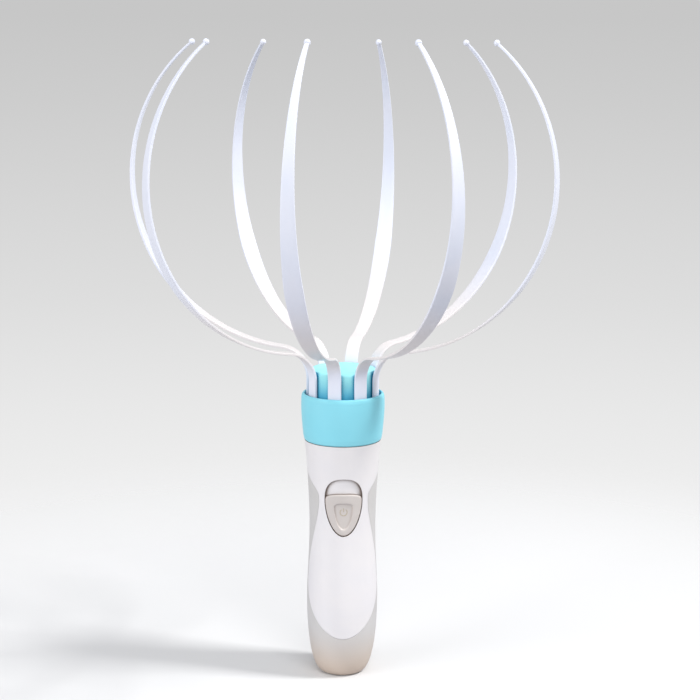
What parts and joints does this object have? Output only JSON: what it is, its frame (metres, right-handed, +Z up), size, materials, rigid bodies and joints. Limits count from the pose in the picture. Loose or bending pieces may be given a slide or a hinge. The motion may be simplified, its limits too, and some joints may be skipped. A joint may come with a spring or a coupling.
{
  "type": "electric scalp massager",
  "caption": "Battery scalp massager: a slim white and grey handle with a shield-shaped button, a light blue collar and a wide cage of tapering spring claws with ball tips.",
  "frame": {"origin": "centre of the flat base that the handle stands on", "axes": "+Z up along the handle to the claw tips, the power button faces -Y, +X to the right as seen from the front"},
  "size_m": [0.1764, 0.1778, 0.274],
  "materials": {
    "white_shell": "satin, moulded",
    "grey_shell": "satin, moulded",
    "blue_collar": "semi-gloss, moulded",
    "blue_hub": "semi-gloss, moulded",
    "claw_white": "satin white coating on spring steel",
    "button_white": "fine satin",
    "switch_black": "matte",
    "switch_plunger": "matte",
    "board_green": "solder mask",
    "chip_black": "matte",
    "motor_steel": "drawn can",
    "motor_cap": "matte",
    "shaft_steel": "ground",
    "weight_brass": "sintered",
    "sleeve_rubber": "matte",
    "foam_grey": "foam",
    "lead_red": "insulated wire",
    "cell_wrap": "plain wrap",
    "contact_nickel": "nickel-plated spring steel",
    "lead_black": "insulated wire",
    "screw_zinc": "zinc-plated"
  },
  "bodies": {
    "handle": {"front_shell": "white_shell", "rear_shell": "grey_shell", "collar": "blue_collar", "claw_hub": "blue_hub", "hub_screw": "screw_zinc", "case_screws": "screw_zinc", "circuit_board": "board_green", "board_parts": "chip_black", "push_switch": "switch_black", "motor_can": "motor_steel", "motor_end_cap": "motor_cap", "motor_sleeve": "sleeve_rubber", "foam_pad": "foam_grey", "motor_leads": "lead_red", "battery_cell": "cell_wrap", "battery_spring": "contact_nickel", "negative_contact": "contact_nickel", "positive_contact": "contact_nickel", "battery_lead": "lead_black"},
    "button": {"power_button": "button_white"},
    "plunger": {"switch_plunger": "switch_plunger"},
    "rotor": {"motor_shaft": "shaft_steel", "eccentric_weight": "weight_brass"},
    "door": {"battery_door": "grey_shell"},
    "claw_1": {"claw_1": "claw_white"},
    "claw_2": {"claw_2": "claw_white"},
    "claw_3": {"claw_3": "claw_white"},
    "claw_4": {"claw_4": "claw_white"},
    "claw_5": {"claw_5": "claw_white"},
    "claw_6": {"claw_6": "claw_white"},
    "claw_7": {"claw_7": "claw_white"},
    "claw_8": {"claw_8": "claw_white"}
  },
  "joints": [
    {"name": "button_press", "type": "slide", "parent": "handle", "child": "button", "axis": [0, 1, 0], "range_m": [0, 0.0005], "stiffness_N_per_m": 2500},
    {"name": "plunger_press", "type": "slide", "parent": "handle", "child": "plunger", "axis": [0, 1, 0], "range_m": [0, 0.0005]},
    {"name": "motor_spin", "type": "hinge", "parent": "handle", "child": "rotor", "pos_m": [0, 0, 0.09], "axis": [0, 0, 1], "continuous": true},
    {"name": "door_lift", "type": "slide", "parent": "handle", "child": "door", "axis": [0, 1, 0], "range_m": [0, 0.02]},
    {"name": "claw_1_flex", "type": "hinge", "parent": "handle", "child": "claw_1", "pos_m": [-0.00401, -0.01445, 0.1115], "axis": [0.9636, -0.2672, 0], "range_deg": [0, 3], "stiffness_Nm_per_rad": 1.43},
    {"name": "claw_2_flex", "type": "hinge", "parent": "handle", "child": "claw_2", "pos_m": [0.00693, -0.01331, 0.1115], "axis": [0.887, 0.4617, 0], "range_deg": [0, 3], "stiffness_Nm_per_rad": 1.43},
    {"name": "claw_3_flex", "type": "hinge", "parent": "handle", "child": "claw_3", "pos_m": [0.0137, -0.0061, 0.1115], "axis": [0.4067, 0.9135, 0], "range_deg": [0, 3], "stiffness_Nm_per_rad": 1.43},
    {"name": "claw_4_flex", "type": "hinge", "parent": "handle", "child": "claw_4", "pos_m": [0.01286, 0.00773, 0.1115], "axis": [-0.515, 0.8572, 0], "range_deg": [0, 3], "stiffness_Nm_per_rad": 1.43},
    {"name": "claw_5_flex", "type": "hinge", "parent": "handle", "child": "claw_5", "pos_m": [0.00388, 0.01449, 0.1115], "axis": [-0.9659, 0.2588, 0], "range_deg": [0, 3], "stiffness_Nm_per_rad": 1.43},
    {"name": "claw_6_flex", "type": "hinge", "parent": "handle", "child": "claw_6", "pos_m": [-0.0075, 0.01299, 0.1115], "axis": [-0.866, -0.5, 0], "range_deg": [0, 3], "stiffness_Nm_per_rad": 1.43},
    {"name": "claw_7_flex", "type": "hinge", "parent": "handle", "child": "claw_7", "pos_m": [-0.01475, 0.00273, 0.1115], "axis": [-0.1822, -0.9833, 0], "range_deg": [0, 3], "stiffness_Nm_per_rad": 1.43},
    {"name": "claw_8_flex", "type": "hinge", "parent": "handle", "child": "claw_8", "pos_m": [-0.01306, -0.00739, 0.1115], "axis": [0.4924, -0.8704, 0], "range_deg": [0, 3], "stiffness_Nm_per_rad": 1.43}
  ],
  "couplings": [
    {"joint": "plunger_press", "follows": "button_press", "ratio": 1}
  ]
}
